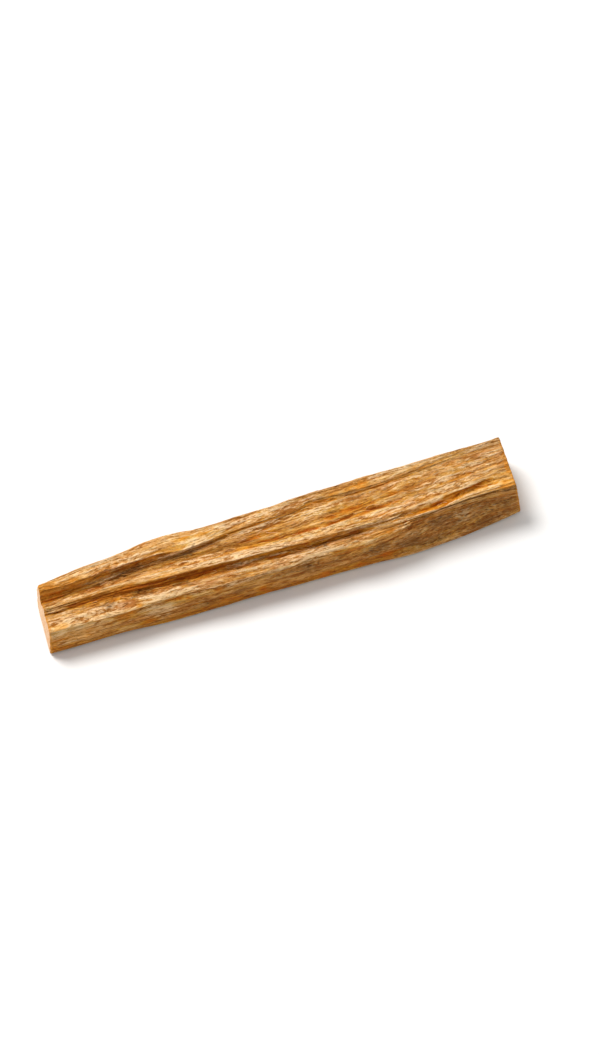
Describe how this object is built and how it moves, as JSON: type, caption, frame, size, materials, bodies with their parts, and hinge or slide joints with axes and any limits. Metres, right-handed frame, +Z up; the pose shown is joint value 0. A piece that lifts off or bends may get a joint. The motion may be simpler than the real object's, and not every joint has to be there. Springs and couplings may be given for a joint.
{
  "type": "split cedarwood stick",
  "caption": "Short stick of aromatic cedarwood, split along the grain and sawn at both ends, lying on its flat side.",
  "frame": {"origin": "on the surface the stick rests on, under the middle of its bounding box", "axes": "+X along the grain towards the thicker end, +Y across towards the plain back face, +Z up out of the ridged split face"},
  "size_m": [0.1008, 0.017, 0.0104],
  "materials": {
    "split_wood": "raw split grain, dry, with resin streaks"
  },
  "bodies": {
    "root": {"cedarwood_stick": "split_wood"}
  },
  "joints": []
}
